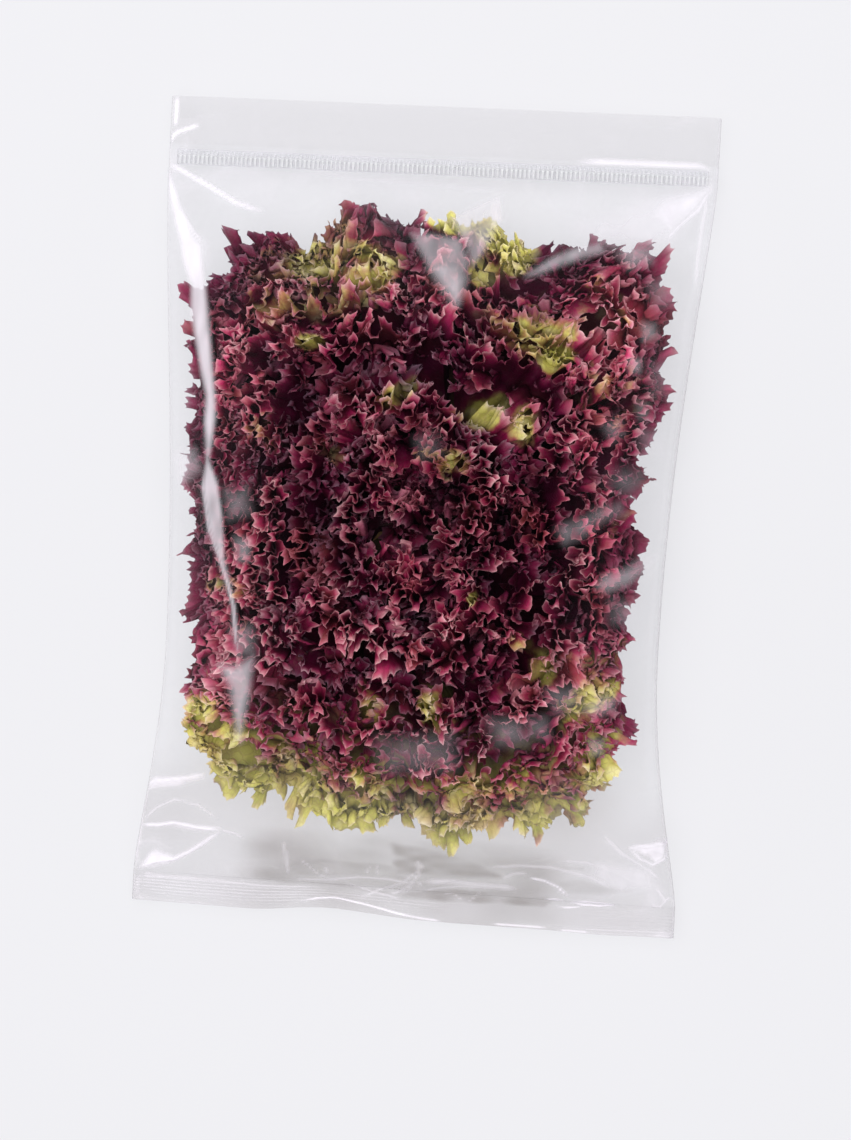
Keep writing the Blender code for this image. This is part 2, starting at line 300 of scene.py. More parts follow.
def outline_share(x, y):
    """How far out a point is in the plan of the head, where 1 is the outline of the part."""
    widen = 1 + SHOULDER_GAIN * smoothstep((y + 0.04) / 0.16)
    power = CORNER_POWER[1]
    across, along = np.abs(x) / widen / HEAD_HALF_WIDTH, np.abs(y - HEAD_Y) / HEAD_HALF_LENGTH
    return (across**power + along**power) ** (1 / power)


def outline_limit(x, y):
    """The share at which the head ends in the direction of a point."""
    rim = np.array(OUTLINE) / 1000
    turn = np.arctan2(rim[:, 1] - HEAD_Y, rim[:, 0])
    order = np.argsort(turn)
    share = outline_share(rim[:, 0], rim[:, 1])
    return np.interp(np.arctan2(y - HEAD_Y, x), turn[order], share[order], period=2 * math.pi)


def path_length(points):
    return np.concatenate([[0], np.cumsum(np.linalg.norm(np.diff(points, axis=0), axis=1))]) * 1000


# Margin of a leaf, in mm
TOOTH = 4.6
TOOTH_DEPTH = 2.8
FOLD = 8.0
OUTER_FOLD = 11.0
RIPPLE = 6.4
BAY_DEPTH = 4.5
WANDER = 5.0  # how far a ring strays sideways

TOOTH_SAMPLES = 4  # columns of the mesh for each tooth
ROWS = (0, 0.8, 2.0, 3.9, 6.8, 11, 17, 26)  # mm below the margin
FULL_ROWS = 6  # so many rows keep every column, and the deeper ones of a frill every second one
FRILLS = (4, 5)  # sheets of a leaf, side by side in the gap before the next ring; more in the heart
OUTERMOST = 0.7  # rings beyond this one flop more and have wider folds, shallower teeth and bays
SIDE_DROP = 0.05  # the frilled margin keeps its height further to the sides than the plain leaf
FLOP = 0.042  # share of the head's width
HOLLOW_DEPTH = 0.022  # in metres


class Leaf:
    """One leaf: u runs along its margin and v down from it, both in mm."""

    def __init__(self, ring, count, index, waves, turn, draw, seed):
        self.ring, self.waves, self.draw, self.seed = ring, waves, draw, seed
        self.half_span = math.pi / count * (SIDE_OVERLAP if count > 1 else 0.93)
        self.middle = math.radians(turn) + 2 * math.pi * index / count
        self.lift = 0.93 + 0.07 * draw[0]
        self.frills = FRILLS[0] if ring > 0.4 else FRILLS[1]
        self.base = base_phi(ring)
        self.even = np.linspace(-1, 1, 200)
        line = head_point(ring * np.ones(200), self.middle + self.half_span * self.even, 0.9 * np.ones(200))
        self.span = path_length(line)
        stalk = np.linspace(0, 1, 30)
        rho, zeta = bowl(ring, self.base + (1 - self.base) * stalk, self.lift)
        self.length = path_length(head_point(rho, np.full(30, self.middle), zeta))[-1]

    def sheet(self, u, v, inner):
        """The leaf's surface before its frills; inner frills lean into the gap before the next ring."""
        ring, seed = self.ring, self.seed
        s = np.interp(u, self.span, self.even)
        p = 1 - v / self.length
        phi = self.base + (1 - self.base) * p * (1 - SIDE_DROP * np.abs(s) ** 4)
        fan = BASE_FAN + (1 - BASE_FAN) * np.maximum(smoothstep(p / 0.75), smoothstep(1 - p / 0.15))
        wave = math.pi * self.waves * (s + 1) + 2 * math.pi * self.draw[1]
        size = 0.75 + 0.25 * np.sin(1.7 * wave / self.waves + 5 * self.draw[2])
        size = size * (1 - 0.65 * np.abs(s) ** 3)
        depth = 0.45 * RUFFLE * (0.4 + 0.6 * min(1.0, ring / 0.3))
        own_ring = ring + TUCK * min(1.0, ring / 0.1) * s * fan + depth * p**2.2 * size * np.sin(wave)
        if inner:
            gap = min(0.125 if ring > 0.4 else 0.17, ring)
            own_ring = own_ring - inner / self.frills * gap * smoothstep(1 - v / (self.reach * 0.8))
        rho, zeta = bowl(own_ring, phi, self.lift)
        # Inner leaves close over the heart, and every leaf draws together at its foot.
        rho = rho - 0.125 * max(0.0, 1 - ring / 0.45) * smoothstep(1.3 * p)
        rho = rho * (1 - 0.6 * smoothstep(1 - p / 0.12))
        # Uneven heights, and places where the margin flops outward.
        droop = np.exp(-v / 14)
        outer = 0.3 * smoothstep((ring - OUTERMOST) / 0.2)
        flop = np.clip(noise(u / 21, 0, seed + 20) + 0.1 + outer, 0, 1)
        rho = rho + FLOP * flop * np.exp(-v / 6) * (0.5 if inner else 1)
        low = smoothstep(0.45 + 0.95 * noise(u / 10, 7 * inner, seed + 21))
        zeta = zeta - 0.04 * flop * droop - (0.01 + 0.19 * low) * droop
        points = head_point(rho, self.middle + self.half_span * s * fan, zeta)
        # The rings wander, and whole stretches of a leaf sink into the hollows.
        x, y = points[..., 0] * 1000, points[..., 1] * 1000
        free = smoothstep(p * 1.4)
        calm = WANDER * free * smoothstep((1.02 - rho) / 0.3) / 1000
        away = calm * noise(x / 26, y / 26, 101), calm * noise(x / 26, y / 26, 102)
        margin = hollow(x[-1:] + away[0][-1:] * 1000, y[-1:] + away[1][-1:] * 1000)
        sunk = -HOLLOW_DEPTH * margin * free * float(smoothstep((0.90 - ring) / 0.2))
        return points + np.stack([away[0], away[1], sunk], -1), s, p

    def frilled(self, u, v, inner, edge=None):
        """Adds the frills: the margin meanders between its neighbours in loops that flare at their rims."""
        seed, draw = self.seed + 500 * inner, self.draw
        points, s, p = self.sheet(u, v, inner)
        gap = 46 * head_outline(self.middle + self.half_span * s, 0.5)
        outer = 0.0 if inner else float(smoothstep((self.ring - OUTERMOST) / 0.15))
        pitch = FOLD + (OUTER_FOLD - FOLD) * outer
        loop = u / pitch + 0.55 * noise(u / 14, 0, seed + 30) + draw[2] + 0.37 * inner
        loop = 2 * math.pi * loop + 0.03 * v
        grow = 0.38 * np.exp(-v / 14) + 0.62 * np.exp(-v / 4.0)
        grow = grow * (1 - smoothstep((np.abs(s) - 0.93) / 0.07)) * min(1.0, 0.25 + 3 * self.ring)
        if inner:
            grow = grow * smoothstep((1 - v / self.reach) / 0.4)
        high = gap * (0.85 + 0.55 * noise(u / (0.8 * pitch), 0, seed + 31))
        along = unit(np.gradient(points, axis=1))
        level = normals(points) * np.array([1, 1, 0.4])
        level = unit(level) * smoothstep(np.linalg.norm(level, axis=-1, keepdims=True) / 0.5)
        shift = level * (grow * high * np.sin(loop))[..., None]
        shift = shift - along * (grow * 0.19 * pitch * np.sin(2 * loop))[..., None]
        points = draw_in(points + shift / 1000)
        if edge is None:
            return points, s, p
        # Crinkles and teeth follow the length of the folded margin.
        small = 1.5 * np.exp(-v / 3.2) * (0.8 + 0.6 * noise(edge / 7, 0, seed + 32))
        ripple = np.sin(2 * math.pi * (edge / RIPPLE + 0.4 * noise(edge / 9, 0, seed + 33)))
        points = points + normals(points) * (small * ripple / 1000)[..., None]
        teeth = self.teeth(edge, inner)
        number = np.floor(teeth)
        tip = (1 - np.abs(2 * (teeth - number) - 1)) ** 2.0
        notch = TOOTH_DEPTH * (1 - (0.72 + 0.28 * lattice(number, 0, seed + 35)) * tip)
        notch = notch + 1.3 * noise(edge / 7, 0, seed + 36)
        notch = notch * np.clip(1 - v / 7, 0, 1) * (0.75 if self.ring > OUTERMOST else 1)
        if self.ring > OUTERMOST and not inner:
            # Bays part the lobes of the outermost leaves.
            bay = smoothstep(1.5 * noise(edge / 14, 0, seed + 37))
            notch = notch + BAY_DEPTH * bay * np.clip(1 - v / 10, 0, 1)
        return points - unit(np.gradient(points, axis=0)) * notch[..., None] / 1000, s, p

    def teeth(self, edge, inner):
        """Counts teeth along the folded margin; a whole number is a notch."""
        return edge / TOOTH + 0.5 * noise(edge / 11, 0, self.seed + 500 * inner + 34)

    def grid(self, inner):
        """Points of the leaf or of an inner frill, rows from foot to margin, and values at them."""
        scale = min(1.0, 0.55 * self.length / ROWS[-1])
        rows = [scale * v for v in ROWS]
        steps = [1] * FULL_ROWS + [2] * (len(ROWS) - FULL_ROWS)
        self.reach = rows[-1]
        if not inner:
            rows += list(np.linspace(self.reach, 0.62 * self.length, 6)[1:])
            rows += list(np.linspace(0.62 * self.length, self.length, 5)[1:])
            steps += [2] * 5 + [4] * 4
        rows, steps = np.array(rows[::-1]), np.array(steps[::-1])
        # Columns stand at the tips and on both sides of the notches of the teeth.
        fine = np.linspace(0, self.span[-1], 16 * int(self.span[-1]))
        margin = self.frilled(*np.broadcast_arrays(fine[None, :], np.array([[0.4], [0.0]])), inner)[0][-1]
        edge = path_length(margin)
        teeth = self.teeth(edge, inner)
        number = 4 * int((teeth[-1] - teeth[0]) * TOOTH_SAMPLES / 4)
        wanted = (math.ceil(teeth[0] * TOOTH_SAMPLES) + np.arange(number + 1)) / TOOTH_SAMPLES + 0.5
        wanted = np.clip(wanted, teeth[0], teeth[-1])
        wanted[0], wanted[-1] = teeth[0], teeth[-1]
        u, v = np.broadcast_arrays(np.interp(wanted, teeth, fine)[None, :], rows[:, None])
        edge = np.interp(wanted, teeth, edge)[None, :] + 0 * v
        points, s, p = self.frilled(u, v, inner, edge)
        points, hidden = settle(points)
        x, y = points[..., 0], points[..., 1]
        # Towards the lower end the faces turn green below their red rims. Painted shade darkens the leaves
        # that lie deep below the top film, the outermost leaves of the head and the hollows between the
        # frills.
        face = 0.42 * smoothstep((v - 2) / 9) * smoothstep((-y - 0.02) / 0.09)
        green = np.clip(greenness(x, y) + face, 0, 1)
        outskirt_shade = 0.55 * smoothstep((outline_share(x, y) / outline_limit(x, y) - 0.76) / 0.18) * (1 - green)
        # Painted shade in the hollows between the frills.
        dark = 0.45 * hollow(x * 1000, y * 1000) * smoothstep(v / 4)
        fields = {
            "rim": np.clip(1 - v / 20, 0, 1),
            "green": green,
            "depth": np.clip(v / 60, 0, 1),
            "shade": np.clip(hidden + outskirt_shade + dark, 0, 1),
        }
        return points, steps, fields, np.stack([0.5 + 0.49 * s, 0.01 + 0.98 * p], -1)


def draw_in(points):
    """Keeps points inside the outline of the head; they near its edge ever more slowly."""
    x, y = points[..., 0], points[..., 1]
    reach = outline_share(x, y)
    limit = outline_limit(x, y) + 0.025 * noise(x * 105, y * 105, 77)
    pull = 1 + (limit / 1.005 - 1) * smoothstep(reach)
    over = np.maximum(reach * pull - limit + 0.02, 0)
    held = limit + 0.012 - 0.032 * np.exp(-over / 0.032)
    pull = np.where(over > 0, held / np.maximum(reach, 1e-6), pull)
    return np.stack([x * pull, HEAD_Y + (y - HEAD_Y) * pull, points[..., 2]], -1)


def settle(points):
    """Keeps points between the films, and tells how deep they lie."""
    x, y, z = points[..., 0], points[..., 1], points[..., 2]
    ceiling = film_top(x, y) - FILM - 0.0004
    over = np.maximum(z - ceiling + 0.003, 0)
    z = np.where(over > 0, ceiling - 0.003 * np.exp(-over / 0.003), z)
    z = np.maximum(z, film_bottom(x, y) + FILM + 0.0006)
    hidden = np.minimum(ceiling - z, 1.5 * (z - film_bottom(x, y))) * 1000
    return np.stack([x, y, z], -1), np.clip(hidden / 25, 0, 1)


def sheet_faces(steps, columns, start):
    """Kept grid places and faces of a sheet whose rows keep every, every second or every fourth column."""
    kept, starts, quads, tris = [], [], [], []
    total = start
    for row, step in enumerate(steps):
        picked = np.arange(0, columns + 1, step)
        kept.append(np.stack([np.full(len(picked), row), picked], 1))
        starts.append(total)
        total += len(picked)
    for row in range(len(steps) - 1):
        near, far = starts[row], starts[row + 1]
        i = np.arange(columns // steps[row])
        if steps[row] == steps[row + 1]:
            quads.append(np.stack([near + i, near + i + 1, far + i + 1, far + i], 1))
        else:
            a, b, c = near + i, near + i + 1, far + 2 * i
            tris += [np.stack(t, 1) for t in ([a, c + 1, c], [a, b, c + 1], [b, c + 2, c + 1])]
    return np.concatenate(kept), quads, tris


def leaf_mesh(name, sheets):
    places, faces, triangles, texture, values = [], [], [], [], {}
    total = 0
    for points, steps, fields, uv in sheets:
        kept, quads, tris = sheet_faces(steps, points.shape[1] - 1, total)
        total += len(kept)
        pick = (kept[:, 0], kept[:, 1])
        places.append(points[pick])
        texture.append(uv[pick])
        faces += quads
        triangles += tris
        for key, field in fields.items():
            values.setdefault(key, []).append(field[pick])
    values = {key: np.concatenate(field) for key, field in values.items()}
    every = [np.concatenate(f) for f in (faces, triangles) if f]
    return new_mesh(name, np.concatenate(places), every, np.concatenate(texture), values)


def make_leaves(material):
    draws = np.random.default_rng(SEED)
    number = 0
    for ring_name, ring, count, waves, turn in RINGS:
        for index in range(count):
            number += 1
            leaf = Leaf(ring, count, index, waves, turn, draws.random(3), 50 * number)
            node = f"{ring_name}_{index + 1}"
            piece = leaf_mesh(f"{node}_frilled", [leaf.grid(inner) for inner in range(leaf.frills)])
            piece.data.materials.append(material)
            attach(piece, "root")
            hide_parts(node)


# Stem

STEM_FOOT_RADIUS = 0.0105
STEM_TIP_RADIUS = 0.0030
STEM_HEIGHT = 0.36  # share of the height between the films
STEM_FLUTES = 17


def make_stem(material):
    """The short cut stem: a ribbed cone with leaf scars and a slightly sunken, rough cut at its foot."""
    low, high = head_point(0.0, 0.0, 0.0), head_point(0.0, 0.0, STEM_HEIGHT)
    height = high[2] - low[2]
    turn = np.linspace(0, 2 * math.pi, 97)[:-1]
    share = np.array([0, 0.004, 0.02, 0.05, *np.linspace(0.1, 0.9, 33), 0.95, 0.985, 1.0])
    angle, up = np.meshgrid(turn, share)
    radius = STEM_FOOT_RADIUS + (STEM_TIP_RADIUS - STEM_FOOT_RADIUS) * up
    radius = radius - 0.0012 * (1 - smoothstep(up / 0.05)) - 0.0015 * smoothstep((up - 0.95) / 0.05)
    scar = smoothstep(1 - np.abs(np.sin(2 * angle + 16 * up + 1.2 * noise(up * 7, 0, 41))) * 2.2)
    radius = radius - 0.0005 * scar - 0.00025 * (1 + np.sin(STEM_FLUTES * angle + 3 * noise(up * 5, 0, 42)))
    x, y = low[0] + radius * np.cos(angle), low[1] + radius * np.sin(angle)
    wall = np.stack([x, y, low[2] + up * height], -1)
    foot, tip = [[low[0], low[1], low[2] + 0.0006]], [[low[0], low[1], high[2] - 0.0002]]
    columns, rows = len(turn), len(share)
    i, j = np.meshgrid(np.arange(rows - 1), np.arange(columns), indexing="ij")
    here, beside = (i * columns + j).ravel(), (i * columns + (j + 1) % columns).ravel()
    sides = np.stack([here, beside, beside + columns, here + columns], 1)
    j = np.arange(columns)
    last = (rows - 1) * columns
    ends = np.concatenate([
        np.stack([(j + 1) % columns, j, np.full(columns, rows * columns)], 1),
        np.stack([last + j, last + (j + 1) % columns, np.full(columns, rows * columns + 1)], 1),
    ])
    points = np.concatenate([wall.reshape(-1, 3), foot, tip])
    scars = np.concatenate([scar.ravel(), [0.6, 0.0]])
    stem = new_mesh("cut_stem", points, [sides, ends], None, {"scar": scars})
    stem.data.materials.append(material)
    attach(stem, "root")
    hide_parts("stem")


# Film

# Painted highlights and reflections of the front film, as glossy white patches: strength, softness, and x
# and y of every corner, in mm.
REFLECTION_PATCHES = (
    (0.72, 2.0, -125, 151, -120, 135, -115, 121, -111, 108, -106, 98, -105, 85, -101, 72, -97, 58,
     -94, 49, -94, 37, -92, 22, -91, 22, -90, 29, -89, 38, -90, 48, -92, 60, -95, 77, -97, 88, -101, 104,
     -104, 116, -109, 122, -116, 134, -122, 146),
    (0.6, 1.5, -92, 22, -93, 8, -89, -10, -83, -22, -78, -34, -75, -43, -77, -34, -81, -22, -83, -4,
     -86, 10),
    (0.42, 3.0, -81, -70, -75, -79, -72, -95, -70, -103, -69, -93, -66, -78, -65, -65, -73, -70),
    (0.35, 5.0, -114, 123, -101, 116, -101, 105, -109, 107),
    (0.36, 2.0, -8, 125, 5, 124, 14, 123, 19, 113, 16, 94, 5, 106, -4, 119),
    (0.55, 4.0, 3, 110, 9, 112, 16, 112, 18, 105, 16, 94, 9, 102),
    (0.34, 2.0, 9, 132, 18, 139, 28, 145, 31, 133, 26, 120, 21, 111, 17, 121),
    (0.6, 2.0, 25, 138, 28, 145, 31, 133, 28, 129),
    (0.4, 2.5, 45, 108, 56, 117, 65, 122, 75, 125, 77, 121, 66, 117, 51, 110),
    (0.35, 8.0, 121, 153, 91, 142, 65, 132, 67, 128, 77, 126, 99, 125, 105, 128, 113, 142),
    (0.6, 5.0, 122, 153, 100, 146, 96, 138, 106, 132, 114, 143),
    (0.28, 4.0, 85, 125, 97, 125, 98, 118, 89, 115, 84, 120),
    (0.26, 3.0, 96, 90, 101, 90, 102, 85, 97, 83),
    (0.15, 5.0, 98, 108, 107, 109, 109, 100, 101, 99),
    (0.24, 2.5, 91, 74, 96, 74, 96, 69, 92, 69),
    (0.18, 3.0, 96, 56, 100, 55, 101, 49, 97, 49),
    (0.14, 5.0, 98, 43, 107, 43, 108, 33, 100, 33),
    (0.12, 6.0, 88, 24, 99, 26, 102, 20, 95, 16, 87, 19),
    (0.19, 4.0, 74, 2, 82, 8, 91, 11, 92, 8, 84, 4, 77, -1),
    (0.2, 4.0, 66, -1, 76, 4, 79, -1, 69, -6),
    (0.15, 4.0, 83, 44, 88, 47, 90, 42, 86, 39),
    (0.12, 6.0, 101, 72, 110, 73, 109, 61, 103, 60),
    (0.31, 3.0, 108, -11, 101, -13, 96, -17, 86, -21, 84, -25, 88, -27, 97, -23, 104, -18),
    (0.15, 5.0, 90, -32, 100, -33, 100, -41, 91, -40),
    (0.17, 6.0, 66, -72, 76, -71, 79, -76, 70, -79),
    (0.3, 4.0, 81, -79, 87, -75, 93, -74, 92, -79, 86, -81),
    (0.28, 3.0, 84, -93, 89, -93, 89, -99, 85, -99),
    (0.17, 6.0, 42, -86, 53, -86, 56, -94, 45, -95),
    (0.18, 5.0, 58, -85, 64, -84, 65, -91, 58, -91),
    (0.15, 5.0, -82, 7, -72, 8, -70, -1, -79, -4),
    (0.25, 3.0, -76, -13, -69, -14, -69, -22, -74, -23),
    (0.2, 5.0, -75, -54, -67, -52, -65, -63, -72, -63),
    (0.3, 4.0, -110, 22, -99, 24, -96, 16, -105, 8),
    (0.08, 5.0, 4, 34, 11, 36, 13, 29, 6, 27),
    (0.7, 2.0, -117, -131, -113, -125, -103, -124, -88, -120, -88, -122, -101, -127, -111, -129),
    (0.8, 2.5, -121, -169, -117, -164, -113, -159, -107, -161, -103, -163, -110, -166, -117, -168),
    (0.6, 1.5, -117, -147, -103, -145, -81, -145, -92, -148, -103, -147),
    (0.75, 1.5, 103, -142, 120, -140, 118, -147, 115, -149, 112, -146, 108, -144),
    (0.45, 0.8, 77, -171, 84, -170, 91, -170, 96, -171, 91, -172, 83, -172),
    (0.95, 0.5, 66, -170, 71, -169, 75, -170, 71, -171),
    (0.7, 0.5, 71, -174, 77, -173.5, 83, -173, 77, -174.5),
    (0.11, 6.0, -7, -97, 24, -94, 26, -107, -5, -111),
    (0.35, 5.0, 90, -149, 113, -151, 118, -163, 100, -164, 86, -157),
    (0.7, 1.2, -122, -156, -120, -155, -120, -157, -122, -157),
)

# Creases of the front film: whiteness of the painted highlight along each, half width, height, and x and y
# of every bend, in mm.
CREASES = (
    (0.9, 0.9, 1.5, -125, 154, -120, 152, -114, 149, -104, 144, -89, 136, -76, 132),
    (0.5, 0.5, 0.8, -123, 147, -117, 134, -108, 122, -101, 116),
    (0.6, 0.6, 1.0, -92, 22, -93, 8, -89, -10, -83, -22, -78, -34, -75, -43, -73, -58, -71, -67),
    (0.8, 0.6, 0.5, -124, 163, -123, 166, -121, 168, -111, 172),
    (0.9, 0.5, 0.3, -122, 184, -122, 179, -122, 171),
    (0.5, 0.8, 1.0, 122, 153, 117, 143, 109, 135, 103, 127),
    (0.35, 0.6, 0.6, 121, 152, 119, 134, 118, 120, 118, 107),
    (0.8, 0.8, 0.4, 63, 163, 81, 163, 99, 163, 117, 163, 122, 161),
    (0.8, 0.8, 2.0, -118, -131, -114, -127, -106, -125, -96, -123, -87, -120),
    (0.85, 0.9, 2.5, -121, -148, -111, -147, -103, -145, -92, -146, -80, -146),
    (0.5, 0.6, 1.0, -80, -146, -74, -147, -70, -149),
    (0.8, 1.0, 2.5, -80, -146, -90, -154, -97, -159, -104, -163, -113, -165, -122, -169),
    (0.4, 0.6, 1.0, -120, -147, -112, -139, -103, -134, -91, -135, -80, -142),
    (0.6, 0.8, 1.0, -117, -130, -119, -141, -120, -149, -122, -159, -123, -169),
    (0.4, 1.3, 0.8, -52, -148, -51, -155, -51, -167),
    (0.35, 0.7, 0.5, -45, -157, -39, -163, -34, -168),
    (0.5, 0.7, 0.5, -51, -169, -34, -168, -18, -165, -5, -165, 4, -166, 11, -165),
    (0.4, 0.7, 0.5, -26, -168, -18, -172, -10, -174, 1, -176),
    (0.35, 0.7, 0.4, -33, -160, -33, -163, -35, -167),
    (0.35, 0.7, 0.4, -14, -156, -13, -159, -15, -163),
    (0.3, 0.7, 0.4, -9, -157, -10, -160, -9, -163),
    (0.4, 0.7, 0.4, 4, -167, 0, -172, -5, -174),
    (0.35, 0.6, 0.4, -125, -175, -118, -173, -101, -173, -89, -173, -68, -174, -51, -174, -35, -173),
    (0.5, 1.7, 0.8, 10, -165, 25, -164, 40, -165, 48, -165, 55, -166),
    (0.45, 0.7, 0.5, 10, -170, 18, -168, 29, -166, 40, -166),
    (0.35, 1.0, 0.5, 47, -161, 51, -158, 54, -157, 59, -157),
    (0.45, 1.0, 0.5, 9, -153, 9, -158, 9, -163),
    (0.4, 0.6, 0.4, -1, -172, 4, -168, 8, -163, 10, -167, 10, -171),
    (0.3, 0.6, 0.3, 19, -172, 24, -171, 29, -175),
    (0.3, 0.6, 0.3, 31, -175, 34, -172, 37, -168),
    (0.95, 0.5, 0.3, 76, -171, 84, -170, 91, -170, 97, -171, 91, -172, 83, -172, 76, -171),
    (0.4, 0.7, 0.5, 116, -161, 119, -165, 121, -168),
    (0.4, 0.6, 0.5, 113, -169, 118, -170, 121, -166, 124, -165),
    (0.25, 0.6, 0.2, -67, 154, -35, 150, -4, 149, 31, 147, 37, 147),
    (0.7, 0.5, 0.2, 0, -183, 9, -184, 19, -184.6),
    (0.6, 0.5, 0.2, 73, -184.5, 87, -184.3),
    (0.85, 0.7, 1.2, 59, -159, 66, -160, 72, -163, 77, -168),
    (0.4, 1.0, 1.0, 39, -155, 55, -153, 69, -153, 86, -157, 100, -164),
    (0.45, 0.8, 0.8, 1, -174, 5, -168, 9, -161, 12, -154),
    (0.4, 0.8, 0.8, -19, -178, -10, -172, 2, -166, 10, -158),
    (0.8, 0.8, 1.5, 103, -142, 111, -141, 120, -140, 121, -135),
    (0.6, 0.8, 1.0, 103, -142, 108, -147, 114, -150, 119, -147, 121, -142),
    (0.35, 0.8, 0.8, 71, -149, 86, -150, 99, -155, 113, -163),
    (0.4, 0.8, 0.8, 90, -135, 100, -145, 110, -151, 119, -158),
    (0.95, 0.6, 1.0, -46, -182, -38, -180, -30, -179, -22, -180, -14, -181, -1, -183, 9, -184),
    (0.7, 0.5, 0.8, 42, -184, 55, -184, 68, -184),
)

# Greyer places where several folds of film lie over each other, partly from the stacked film and partly
# painted shade and dark reflections, in the same form as the white patches above.
FOLD_SHADES = (
    (0.6, 2.0, -50, -160, -36, -156, -14, -156, 4, -158, 4, -166, -5, -164, -26, -165, -34, -167,
     -48, -168),
    (0.5, 1.5, -63, -171, -43, -170, -26, -169, -10, -172, 4, -173, 4, -175, -18, -174, -30, -173,
     -60, -173),
    (0.3, 3.0, -76, -181, -59, -177, -35, -175, -28, -177, -43, -180, -52, -184, -67, -183),
    (0.9, 3.5, -2, -146, 18, -149, 37, -153, 47, -158, 48, -161, 38, -162, 11, -162, -2, -163),
    (0.85, 1.8, -1, -172, 8, -171, 18, -168, 35, -168, 55, -168, 67, -168, 71, -171, 66, -175, 42, -175,
     21, -176, 0, -175),
    (0.4, 3.0, 61, -158, 84, -158, 105, -163, 92, -166, 77, -167, 70, -162),
    (0.45, 2.0, 38, -152, 59, -151, 84, -152, 84, -154, 59, -155, 38, -155),
)


def line_distance(x, y, course):
    """Distance to a course of straight pieces, and how far along it the nearest place is, from 0 to 1."""
    course = np.reshape(course, (-1, 2)).astype(float)
    lengths = np.linalg.norm(np.diff(course, axis=0), axis=1)
    total, before = lengths.sum(), 0.0
    best, share = np.full(x.shape, 1e9), np.zeros(x.shape)
    for (ax, ay), (bx, by), length in zip(course[:-1], course[1:], lengths):
        t = np.clip(((x - ax) * (bx - ax) + (y - ay) * (by - ay)) / length**2, 0, 1)
        away = np.hypot(x - ax - t * (bx - ax), y - ay - t * (by - ay))
        nearer = away < best
        best = np.where(nearer, away, best)
        share = np.where(nearer, (before + t * length) / total, share)
        before += length
    return best, share


def inside(x, y, outline):
    result = np.zeros(x.shape, bool)
    corners = np.reshape(outline, (-1, 2)).astype(float)
    for (ax, ay), (bx, by) in zip(corners, np.roll(corners, -1, axis=0)):
        crosses = (ay > y) != (by > y)
        level = by - ay if by != ay else 1e-9
        result ^= crosses & (x < ax + (y - ay) * (bx - ax) / level)
    return result


def edge_distance(x, y, outline):
    """Distance to the edge of an outline, negative inside it."""
    away = line_distance(x, y, outline + outline[:2])[0]
    return np.where(inside(x, y, outline), -away, away)


def film_marks(x, y):
    """Whiteness of the painted highlights and reflections, and height in mm, of the front film's patches
    and creases.
    """
    white, height = np.zeros(x.shape), np.zeros(x.shape)
    for strength, soft, *outline in REFLECTION_PATCHES:
        away = edge_distance(x, y, outline)
        fleck = 1 + 0.25 * noise(x / 4, y / 9, 3)
        white = np.maximum(white, strength * fleck * smoothstep(0.5 - away / (2 * soft)))
        height = height + 0.25 * strength * smoothstep(0.5 - away / (7 * soft))
    for strength, width, lift, *course in CREASES:
        away, share = line_distance(x, y, course)
        taper = np.clip(6 * np.minimum(share, 1 - share) + 0.15, 0, 1)
        spread = max(width, 0.8)
        # The creases of the lower end are the finest.
        width = max(width, 0.6 if course[1] < -140 else 0.95)
        white = np.maximum(white, strength * taper * np.exp(-((away / width) ** 2)))
        height = height + lift * taper * np.exp(-away / (2.5 * spread))
    return np.clip(white, 0, 1), height


def folds(x, y):
    """How grey the front film is where it lies in folds, partly from stacked film and partly painted shade
    and dark reflections.
    """
    grey = np.zeros(x.shape)
    for strength, soft, *outline in FOLD_SHADES:
        away = edge_distance(x, y, outline)
        fleck = 1 + 0.4 * noise(x / 9, y / 3, 23)
        grey = np.maximum(grey, strength * fleck * smoothstep(0.5 - away / (2 * soft)))
    return grey


WELD_PITCH = 1.5  # mm from one pressed line of the bottom seal to the next


